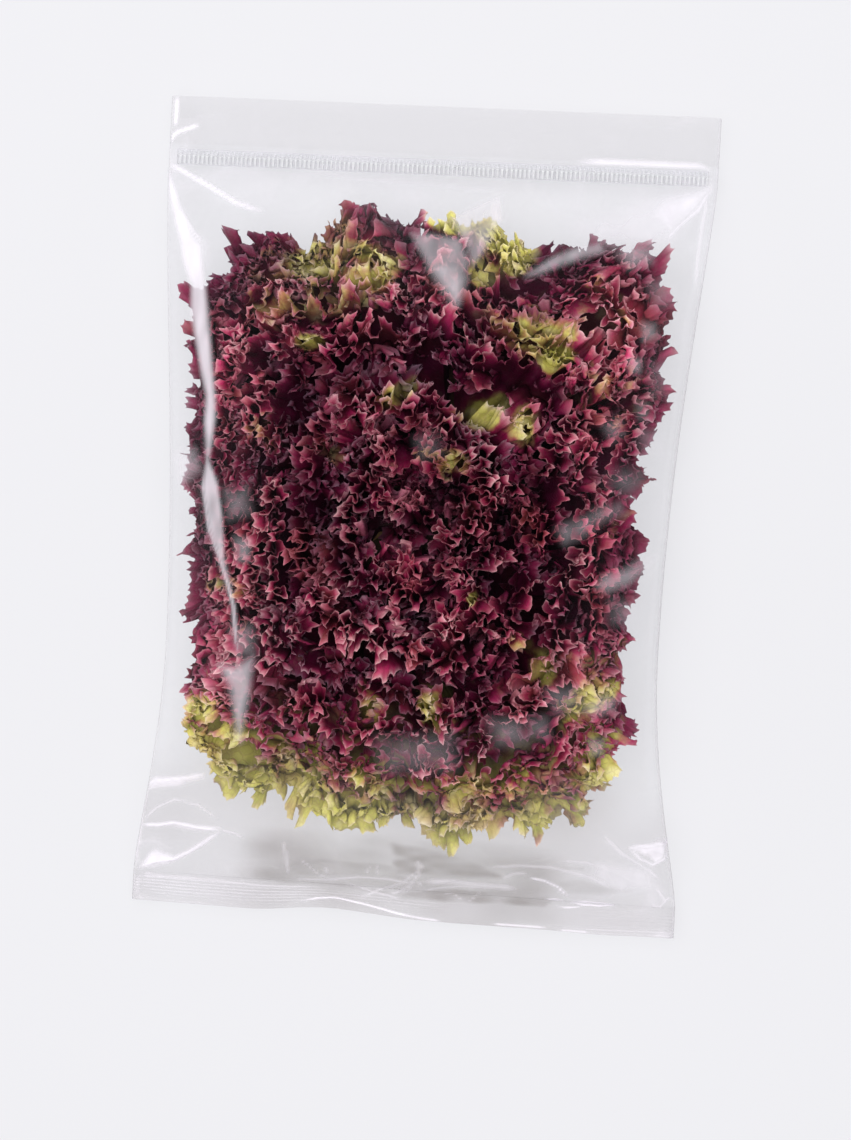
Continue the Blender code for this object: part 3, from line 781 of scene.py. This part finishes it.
def film_sheet(columns, rows, front):
    """Grid of points of one film, how white it is there with painted highlights, sheen and haze, and how
    grey it is with haze and painted shade.
    """
    x, y = np.meshgrid(columns, rows)
    x = x * half_width(y)
    u, v = x * 1000, y * 1000
    edge = np.clip((half_width(y) - np.abs(x)) * 1000 / 3, 0, 1)
    seal = smoothstep((-v - 170) / 2)
    header = smoothstep((v - 162) / 2)
    # Pleats run out of both seals, and loose film is gently crumpled.
    pleat = (1 - np.abs(noise(u / 9 + 0.3 * noise(u / 20, v / 20, 11), v / 60, 12))) ** 4
    near = np.exp(-np.abs(v - 152) / 16) + 1.3 * np.exp(-np.abs(v + 168) / 16)
    crumple = (1 - np.abs(noise(u / 17 + v / 31, v / 15 - u / 40, 13))) ** 6
    loose = smoothstep((-v - 125) / 25) + 0.5 * smoothstep((v - 120) / 25)
    loose = loose + 0.5 * smoothstep((np.abs(u) - 95) / 20)
    height = 0.9 * pleat * near + 0.9 * crumple * loose + 0.25 * noise(u / 12, v / 14, 14)
    height = height + 1.1 * smoothstep((u - 60) / 25) * noise(u / 14, v / 16, 19)
    height = height * (1 - 0.95 * seal) * (1 - 0.8 * header)
    # The bottom seal is pressed in fine lines that fade here and there, and crinkled at its ends.
    weld = np.sin(2 * math.pi * (v + 0.5 * noise(u / 45, 0, 15)) / WELD_PITCH)
    weld = weld * (0.6 + 0.4 * noise(u / 50, v / 3, 24))
    height = height + seal * 0.06 * weld
    # Crumples and pleats are whiter with painted sheen.
    white = 0.10 * crumple * loose + 0.08 * pleat * near
    if front:
        marks = film_marks(u, v)
        white, height = np.maximum(white, marks[0]), height + marks[1]
    # The seal is a little whiter all over, with painted highlights on its pressed lines and crinkled ends.
    ends = 0.25 * smoothstep((np.abs(u) - 112) / 8) * noise(u / 2.5, v / 4, 25)
    white = np.maximum(white, seal * (0.05 + 0.24 * smoothstep(weld * 1.5 - 0.4) + ends))
    # Haze grows towards the lower end.
    haze = smoothstep((-v - 105 + 12 * noise(u / 40, v / 40, 16)) / 45)
    haze = 0.50 * haze * (0.8 + 0.4 * noise(u / 26, v / 18, 17))
    haze = np.maximum(haze, 0.16 * header) * (1 if front else 0.8)
    white = np.maximum(white, 0.22 * haze)
    # Painted shadow and reflection of the leaves grey the lower end of the film.
    low_end_shade = smoothstep((-v - 146) / 8) * smoothstep((80 - np.abs(u)) / 20) * (1 - 0.6 * seal)
    haze_and_shade = 0.45 * haze + 0.40 * low_end_shade * (0.8 + 0.5 * noise(u / 15, v / 6, 26))
    if front:
        haze_and_shade = np.maximum(haze_and_shade, folds(u, v))
    # A thin painted highlight runs along both side edges.
    lip = 1 - smoothstep(np.abs(half_width(y) * 1000 - np.abs(u) - 0.6) / 0.8)
    white = np.maximum(white, 0.30 * lip)
    up = height * edge / 1000
    if front:
        z = film_top(x, y) - 0.0002 + np.maximum(up, -0.0003)
    else:
        z = np.minimum(film_bottom(x, y) + 0.0003 + np.maximum(up, 0), film_top(x, y) - 0.0006 * edge)
    # The lower edge of the bottom seal waves a little and curls up near the middle left.
    free = smoothstep((-v - 168) / 17)
    curl = np.exp(-(((u + 33) / 26) ** 2)) * free
    y = y + 0.0042 * curl + 0.0006 * free * noise(u / 30, 0, 18)
    z = z + 0.004 * curl
    return np.stack([x, y, z], -1), np.clip(white, 0, 1), np.clip(haze_and_shade, 0, 1)


def make_film(material):
    """Both films as one shell, joined along the sides and the bottom and open at the top lip."""
    fine = 1
    half, seal_y = BAG_LENGTH / 2, SEAL_TOP_Y - 0.001
    rows = np.concatenate([
        np.linspace(-half, seal_y, int(58 * fine), endpoint=False),
        np.linspace(seal_y, -0.145, int(50 * fine), endpoint=False),
        np.linspace(-0.145, -0.115, int(30 * fine), endpoint=False),
        np.linspace(-0.115, 0.115, int(150 * fine), endpoint=False),
        np.linspace(0.115, half, int(56 * fine) + 1),
    ])
    side = np.sin(np.linspace(-1, 1, int(216 * fine) + 1) * 1.35) / math.sin(1.35)
    back = np.linspace(-1, 1, 33)
    front_points, front_white, front_haze_and_shade = film_sheet(side, rows, True)
    back_points, back_white, back_haze_and_shade = film_sheet(back, rows, False)
    # The two films share their side and bottom edges.
    for own in (0, -1):
        back_points[:, own] = front_points[:, own]
    points = np.concatenate([front_points.reshape(-1, 3), back_points.reshape(-1, 3)])
    fields = {
        "white": np.concatenate([front_white.ravel(), back_white.ravel()]),
        "haze_and_shade": np.concatenate([front_haze_and_shade.ravel(), back_haze_and_shade.ravel()]),
    }
    front = np.arange(len(rows) * len(side)).reshape(len(rows), len(side))
    number = front.size + np.arange(len(rows) * len(back)).reshape(len(rows), len(back))
    number[:, 0], number[:, -1] = front[:, 0], front[:, -1]
    faces = [grid_faces(front), grid_faces(number)[:, [0, 3, 2, 1]]]
    # The bottom edge is closed with a strip between the films.
    low = front[0]
    place = np.interp(side[1:-1], back, np.arange(len(back)))
    strip = []
    for k in range(len(back) - 1):
        inner = 1 + np.flatnonzero((place >= k) & (place < k + 1))
        path = low[max(inner[0] - 1, 0): inner[-1] + 2] if len(inner) else low[:1]
        for m in range(len(path) - 1):
            strip.append((path[m], number[0, k] if m < len(path) / 2 else number[0, k + 1], path[m + 1]))
        strip.append((path[(len(path) + 1) // 2], number[0, k], number[0, k + 1]))
    strip = np.array([t for t in strip if len(set(t)) == 3])
    faces.append(strip)
    used = np.zeros(len(points), bool)
    for f in faces:
        used[f.ravel()] = True
    new = np.cumsum(used) - 1
    film = new_mesh(
        "clear_film", points[used], [new[f] for f in faces], points[used][:, :2] / BAG_LENGTH + 0.5,
        {key: field[used] for key, field in fields.items()},
    )
    film.data.materials.append(material)
    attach(film, "root")
    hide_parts("bag_film")


# Zip

ZIP_ROWS = (0, 0.15, 0.5, 1.0, 3.4, 3.8, 4.2, 4.7, 5.1, 6.3)  # heights of its mesh's rows in mm
RIB_PITCH = 2.05  # mm


def make_zip(material):
    """Two pressed strips with upright ribs; one is wider spaced and carries the closing bead."""
    low, high = ZIP_BOTTOM_Y * 1000, (ZIP_BOTTOM_Y + ZIP_HEIGHT) * 1000
    for node, front in (("zip_rib", True), ("zip_channel", False)):
        lo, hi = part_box(node)
        left, right = lo[0] * 1000 + 0.3, hi[0] * 1000 - 0.3
        columns = np.linspace(left, right, 611)
        rows = np.array([*(low + v for v in ZIP_ROWS), high - 0.15, high])
        u, v = np.meshgrid(columns, rows)
        rib = np.sin(2 * math.pi * (u + 0.3 * noise(u / 11, 0, 21) + (0.9 if front else 0)) / RIB_PITCH)
        tall = smoothstep((rib + 0.35) / 0.6)
        band = np.where((v > low + 4.5) & (v < low + 6.5), 0.45, 0.0)
        band = np.where((v > low + 0.3) & (v < low + 3.9), 1.0, band)
        thick = 0.25 + 0.40 * tall * band + 0.35 * np.exp(-(((v - low - 4.2) / 0.35) ** 2))
        middle = (lo[2] + hi[2]) / 2 * 1000
        top = middle + thick / 2 + (0.2 if front else -0.2)
        base = middle - thick / 2 + (0.2 if front else -0.2)
        wave = 0.12 * noise(u / 25, 0, 22)
        sheets = [np.stack([u, v + wave, h], -1) / 1000 for h in (top, base)]
        points = np.concatenate([sheet.reshape(-1, 3) for sheet in sheets])
        m, n = u.shape
        upper = grid_faces(np.arange(m * n).reshape(m, n))
        lower = upper[:, ::-1] + m * n
        ring = np.concatenate([
            np.arange(n), np.arange(1, m) * n + n - 1,
            (m - 1) * n + np.arange(n - 2, -1, -1), np.arange(m - 2, 0, -1) * n,
        ])
        after = np.roll(ring, -1)
        side = np.stack([ring + m * n, after + m * n, after, ring], 1)
        # How white the ribs and the bead are, a painted highlight.
        field = (tall * band + 0.8 * np.exp(-(((v - low - 4.2) / 0.5) ** 2))).ravel()
        fields = {"rib": np.tile(field, 2)}
        strip = new_mesh(f"ribbed_{node}", points, [upper, lower, side], None, fields)
        strip.data.materials.append(material)
        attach(strip, "root")
        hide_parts(node)


# Materials


class Nodes:
    """Node tree of a material or a world, with short ways to add to it; a colour is three numbers."""

    def __init__(self, owner):
        owner.use_nodes = True
        self.tree = owner.node_tree

    def add(self, kind, inputs=None, **settings):
        node = self.tree.nodes.new(f"ShaderNode{kind}")
        for key, value in settings.items():
            setattr(node, key, value)
        for key, value in (inputs or {}).items():
            socket = node.inputs[key]
            if isinstance(value, bpy.types.NodeSocket):
                self.tree.links.new(value, socket)
            elif socket.type == "RGBA":
                socket.default_value = (*value, 1.0)
            else:
                socket.default_value = value
        return node

    def field(self, name):
        """A value stored at the points of the mesh."""
        return self.add("Attribute", attribute_name=name).outputs["Fac"]

    def noise(self, where, scale, detail):
        return self.add("TexNoise", {"Vector": where, "Scale": scale, "Detail": detail}).outputs[0]

    def math(self, operation, a, b, clamp=False):
        return self.add("Math", {0: a, 1: b}, operation=operation, use_clamp=clamp).outputs[0]

    def times(self, a, b):
        return self.math("MULTIPLY", a, b)

    def span(self, value, low, high, to_low=0.0, to_high=1.0):
        """Maps the range from low to high to another one."""
        inputs = {"Value": value, "From Min": low, "From Max": high, "To Min": to_low, "To Max": to_high}
        return self.add("MapRange", inputs).outputs[0]

    def mix(self, factor, a, b, blend="MIX"):
        return self.add("Mix", {0: factor, 6: a, 7: b}, data_type="RGBA", blend_type=blend).outputs[2]

    def ramp(self, factor, *stops):
        node = self.add("ValToRGB", {0: factor})
        elements = node.color_ramp.elements
        for element, (place, colour) in zip(elements, (stops[0], stops[-1])):
            element.position, element.color = place, (*colour, 1.0)
        for place, colour in stops[1:-1]:
            elements.new(place).color = (*colour, 1.0)
        return node.outputs[0]

    def blend(self, factor, a, b):
        """Mixes two shaders."""
        return self.add("MixShader", {0: factor, 1: a.outputs[0], 2: b.outputs[0]})

    def surface(self, shader):
        self.add("OutputMaterial", {"Surface": shader.outputs[0]})


def new_material(name):
    material = bpy.data.materials.new(name)
    nodes = Nodes(material)
    nodes.tree.nodes.clear()
    return material, nodes


def leaf_material():
    """Red or green by place, with rims that are pink partly of their own and partly as painted highlight,
    thin painted highlight lines at the margins, painted shade deeper down and between the frills, and veins
    and grain.
    """
    material, nodes = new_material("frilled_leaf")
    rim, green, depth, shade = (nodes.field(name) for name in ("rim", "green", "depth", "shade"))
    where = nodes.add("TexCoord").outputs["Object"]
    blotch = nodes.noise(where, 95.0, 4.0)
    hue = nodes.noise(where, 42.0, 3.0)
    grain = nodes.noise(where, 700.0, 3.0)
    patches = nodes.noise(where, 26.0, 3.0)
    cells = nodes.add("TexVoronoi", {"Vector": where, "Scale": 260.0}, feature="DISTANCE_TO_EDGE")
    vein = nodes.math("SUBTRACT", 1.0, nodes.math("MULTIPLY", cells.outputs[0], 9.0, True), True)
    # Painted highlights on the rims are brighter in some places than in others.
    rim_highlight_share = nodes.span(patches, 0.38, 0.62, 0.35)
    edge = nodes.times(nodes.math("POWER", rim, 13.0), rim_highlight_share)
    line = nodes.times(nodes.math("POWER", rim, 30.0), rim_highlight_share)
    rust = nodes.span(hue, 0.50, 0.68)
    # Red leaf with a pink rim, partly its own colour and partly a painted highlight, and a thin pale
    # painted highlight line at the margin
    red = nodes.ramp(blotch, (0.30, (0.21, 0.006, 0.048)), (0.50, (0.54, 0.019, 0.122)),
                     (0.72, (0.93, 0.065, 0.25)))
    red = nodes.mix(nodes.times(rust, 0.6), red, (0.40, 0.10, 0.055))
    red = nodes.mix(edge, red, nodes.mix(grain, (0.84, 0.22, 0.33), (0.98, 0.52, 0.57)))
    red = nodes.mix(nodes.times(line, nodes.span(hue, 0.40, 0.58, 1.0, 0.25)), red, (1.0, 0.70, 0.70))
    # Green leaf with a pale rim, partly its own colour and partly a painted highlight, and a thin pale
    # painted highlight line at the margin
    leafy = nodes.ramp(blotch, (0.30, (0.42, 0.44, 0.07)), (0.55, (0.82, 0.81, 0.19)),
                       (0.75, (1.0, 0.98, 0.47)))
    leafy = nodes.mix(nodes.times(rust, 0.45), leafy, (0.60, 0.31, 0.20))
    leafy = nodes.mix(nodes.times(edge, 0.35), leafy, (0.95, 0.55, 0.42))
    leafy = nodes.mix(line, leafy, (1.0, 0.93, 0.66))
    # Green leaves keep pink tips, and every leaf turns green towards its base.
    level = nodes.math("MAXIMUM", green, nodes.span(depth, 0.62, 1.3))
    level = nodes.math("ADD", level, nodes.times(nodes.math("SUBTRACT", blotch, 0.5), 1.5))
    level = nodes.math("SUBTRACT", level, nodes.times(edge, 0.12))
    colour = nodes.mix(nodes.span(level, 0.32, 0.68), red, leafy)
    colour = nodes.mix(nodes.times(vein, 0.22), colour, (0.42, 0.20, 0.16))
    # Painted shade darkens the colour by the shade value; the green leaves lie thin at the ends of the head
    # and let more light through, so less shade is painted on them.
    shade = nodes.times(shade, nodes.math("SUBTRACT", 1.0, nodes.times(green, 0.65)))
    painted_shade = nodes.ramp(shade, (0.0, (1, 1, 1)), (0.3, (0.74, 0.70, 0.70)), (0.6, (0.34, 0.30, 0.36)),
                     (1.0, (0.16, 0.14, 0.20)))
    colour = nodes.mix(1.0, colour, painted_shade, "MULTIPLY")
    # Painted shade deepens away from the rims, less on the green faces.
    inward = nodes.ramp(rim, (0.0, (0.29, 0.24, 0.36)), (0.45, (0.45, 0.38, 0.46)),
                        (0.72, (0.80, 0.74, 0.78)), (0.86, (1, 1, 1)))
    inner_shade_share = nodes.math("SUBTRACT", 1.0, nodes.times(green, 0.6), True)
    colour = nodes.mix(inner_shade_share, colour, nodes.mix(1.0, colour, inward, "MULTIPLY"))
    bumps = nodes.math("ADD", nodes.times(grain, 0.35), nodes.times(vein, -0.5))
    bump = nodes.add("Bump", {"Height": bumps, "Strength": 0.35, "Distance": 0.0006}).outputs[0]
    skin = nodes.add("BsdfPrincipled", {
        "Base Color": colour, "Roughness": 0.42, "Specular IOR Level": 0.33, "Normal": bump,
    })
    through = nodes.add("BsdfTranslucent", {"Color": colour, "Normal": bump})
    nodes.surface(nodes.blend(0.30, skin, through))
    return material


def stem_material():
    """Pale green flesh with fibres along it, browner at the leaf scars."""
    material, nodes = new_material("cut_stem")
    where = nodes.add("TexCoord").outputs["Object"]
    fibre = nodes.noise(nodes.add("Mapping", {0: where, 3: (1.0, 1.0, 0.12)}).outputs[0], 900.0, 4.0)
    colour = nodes.ramp(fibre, (0.3, (0.30, 0.36, 0.13)), (0.55, (0.50, 0.55, 0.26)),
                        (0.75, (0.66, 0.68, 0.42)))
    colour = nodes.mix(nodes.times(nodes.field("scar"), 0.7), colour, (0.36, 0.17, 0.10))
    bump = nodes.add("Bump", {"Height": fibre, "Strength": 0.4, "Distance": 0.0005}).outputs[0]
    nodes.surface(nodes.add("BsdfPrincipled", {"Base Color": colour, "Roughness": 0.55, "Normal": bump}))
    return material


def film_material():
    """Clear film with gloss at its slopes, greyer with haze and painted shade in its folds and at its lower
    end, and white where highlights, reflections and haze are painted in its marks.
    """
    material, nodes = new_material("clear_film")
    facing = nodes.add("LayerWeight", {"Blend": 0.5}).outputs["Facing"]
    share = nodes.math("ADD", 0.025, nodes.times(nodes.math("POWER", facing, 4.0), 0.75), True)
    # The film greys where haze and painted shade lie.
    tint = nodes.mix(nodes.field("haze_and_shade"), (0.992, 0.992, 0.995), (0.57, 0.55, 0.525))
    clear = nodes.add("BsdfTransparent", {"Color": tint})
    gloss = nodes.add("BsdfGlossy", {"Color": (1, 1, 1), "Roughness": 0.16})
    # The white marks show painted highlights, reflections and haze.
    white = {"Color": (0.92, 0.875, 0.94)}
    sheen_and_haze = nodes.blend(0.42, nodes.add("BsdfDiffuse", white), nodes.add("BsdfTranslucent", white))
    nodes.surface(nodes.blend(nodes.field("white"), nodes.blend(share, clear, gloss), sheen_and_haze))
    return material


def zip_material():
    """Clear strips, whiter with painted highlights on their ribs and at their slopes."""
    material, nodes = new_material("zip_ribs")
    facing = nodes.add("LayerWeight", {"Blend": 0.5}).outputs["Facing"]
    # Painted highlights whiten the ribs, the bead and the slopes.
    amount = nodes.math("ADD", nodes.times(nodes.field("rib"), 0.56), nodes.times(facing, 0.15), True)
    amount = nodes.math("ADD", amount, 0.04, True)
    clear = nodes.add("BsdfTransparent", {"Color": (0.985, 0.985, 0.99)})
    skin = nodes.add("BsdfPrincipled", {"Base Color": (0.60, 0.60, 0.615), "Roughness": 0.3})
    nodes.surface(nodes.blend(amount, clear, skin))
    return material


def floor_material():
    material, nodes = new_material("floor")
    nodes.surface(nodes.add("BsdfPrincipled", {
        "Base Color": (0.155, 0.155, 0.16), "Roughness": 0.6,
        "Emission Color": (0.97, 0.965, 1.0), "Emission Strength": 0.63,
    }))
    return material


# Stage

FLOOR_HALF = 4
LIGHT_TARGET = (0, 0, 0.03)


def area_light(name, place, size, power):
    """A soft light that is aimed at the bag and doesn't show in the film."""
    data = bpy.data.lights.new(name, "AREA")
    data.shape = "RECTANGLE"
    data.size, data.size_y = size
    data.energy = power
    light = bpy.data.objects.new(name, data)
    light.location = place
    light.rotation_euler = (Vector(LIGHT_TARGET) - Vector(place)).to_track_quat("-Z", "Y").to_euler()
    light.visible_glossy = False
    bpy.context.scene.collection.objects.link(light)


def make_stage():
    corners = FLOOR_HALF * np.array([(-1, -1, 0), (1, -1, 0), (1, 1, 0), (-1, 1, 0)])
    floor = new_mesh("floor", corners, [np.array([[0, 1, 2, 3]])])
    floor.data.materials.append(floor_material())
    area_light("overhead", (-0.1, 0.15, 2.2), (2.4, 2.4), 96)
    area_light("left_strip", (-1.35, 0.15, 0.54), (1.7, 0.22), 6)
    area_light("right_strip", (1.4, 0.1, 0.56), (1.7, 0.22), 4)
    # The sky is pale at the horizon and dark above, so that the film mirrors little.
    world = bpy.data.worlds.new("studio")
    nodes = Nodes(world)
    way = nodes.add("TexCoord").outputs["Generated"]
    up = nodes.add("SeparateXYZ", {0: way}).outputs[2]
    sky = nodes.ramp(up, (0.0, (0.55, 0.56, 0.60)), (0.35, (0.30, 0.31, 0.33)), (0.75, (0.03, 0.03, 0.033)))
    nodes.tree.links.new(sky, nodes.tree.nodes["Background"].inputs[0])
    bpy.context.scene.world = world


CAMERA_TILT, CAMERA_PAN, CAMERA_ROLL = 2.54, -5.87, -3.13  # degrees
BAG_SEEN_AT = (-0.0025, 0.0244, -1.217)  # from the camera, to a point over the middle of the bag
AIM_HEIGHT = 0.02
LENS = 85
SENSOR = 36


def make_camera():
    """The photograph's view of the bag, laid flat, a little rolled and a few degrees off square."""
    tilt, pan, roll = (math.radians(a) for a in (CAMERA_TILT, CAMERA_PAN, CAMERA_ROLL))
    turn = Matrix.Rotation(roll, 3, "Z") @ Matrix.Rotation(tilt, 3, "X") @ Matrix.Rotation(pan, 3, "Y")
    data = bpy.data.cameras.new("camera")
    data.sensor_width = SENSOR
    data.sensor_fit = "VERTICAL"
    data.sensor_height = SENSOR
    data.lens = LENS
    camera = bpy.data.objects.new("camera", data)
    back = turn.transposed()
    place = Vector((0, 0, AIM_HEIGHT)) - back @ Vector(BAG_SEEN_AT)
    camera.matrix_world = Matrix.Translation(place) @ back.to_4x4()
    bpy.context.scene.collection.objects.link(camera)
    bpy.context.scene.camera = camera


make_camera()
make_stage()
make_leaves(leaf_material())
make_stem(stem_material())
make_film(film_material())
make_zip(zip_material())
bpy.context.scene.view_settings.view_transform = "Standard"
bpy.context.scene.cycles.transparent_max_bounces = 24
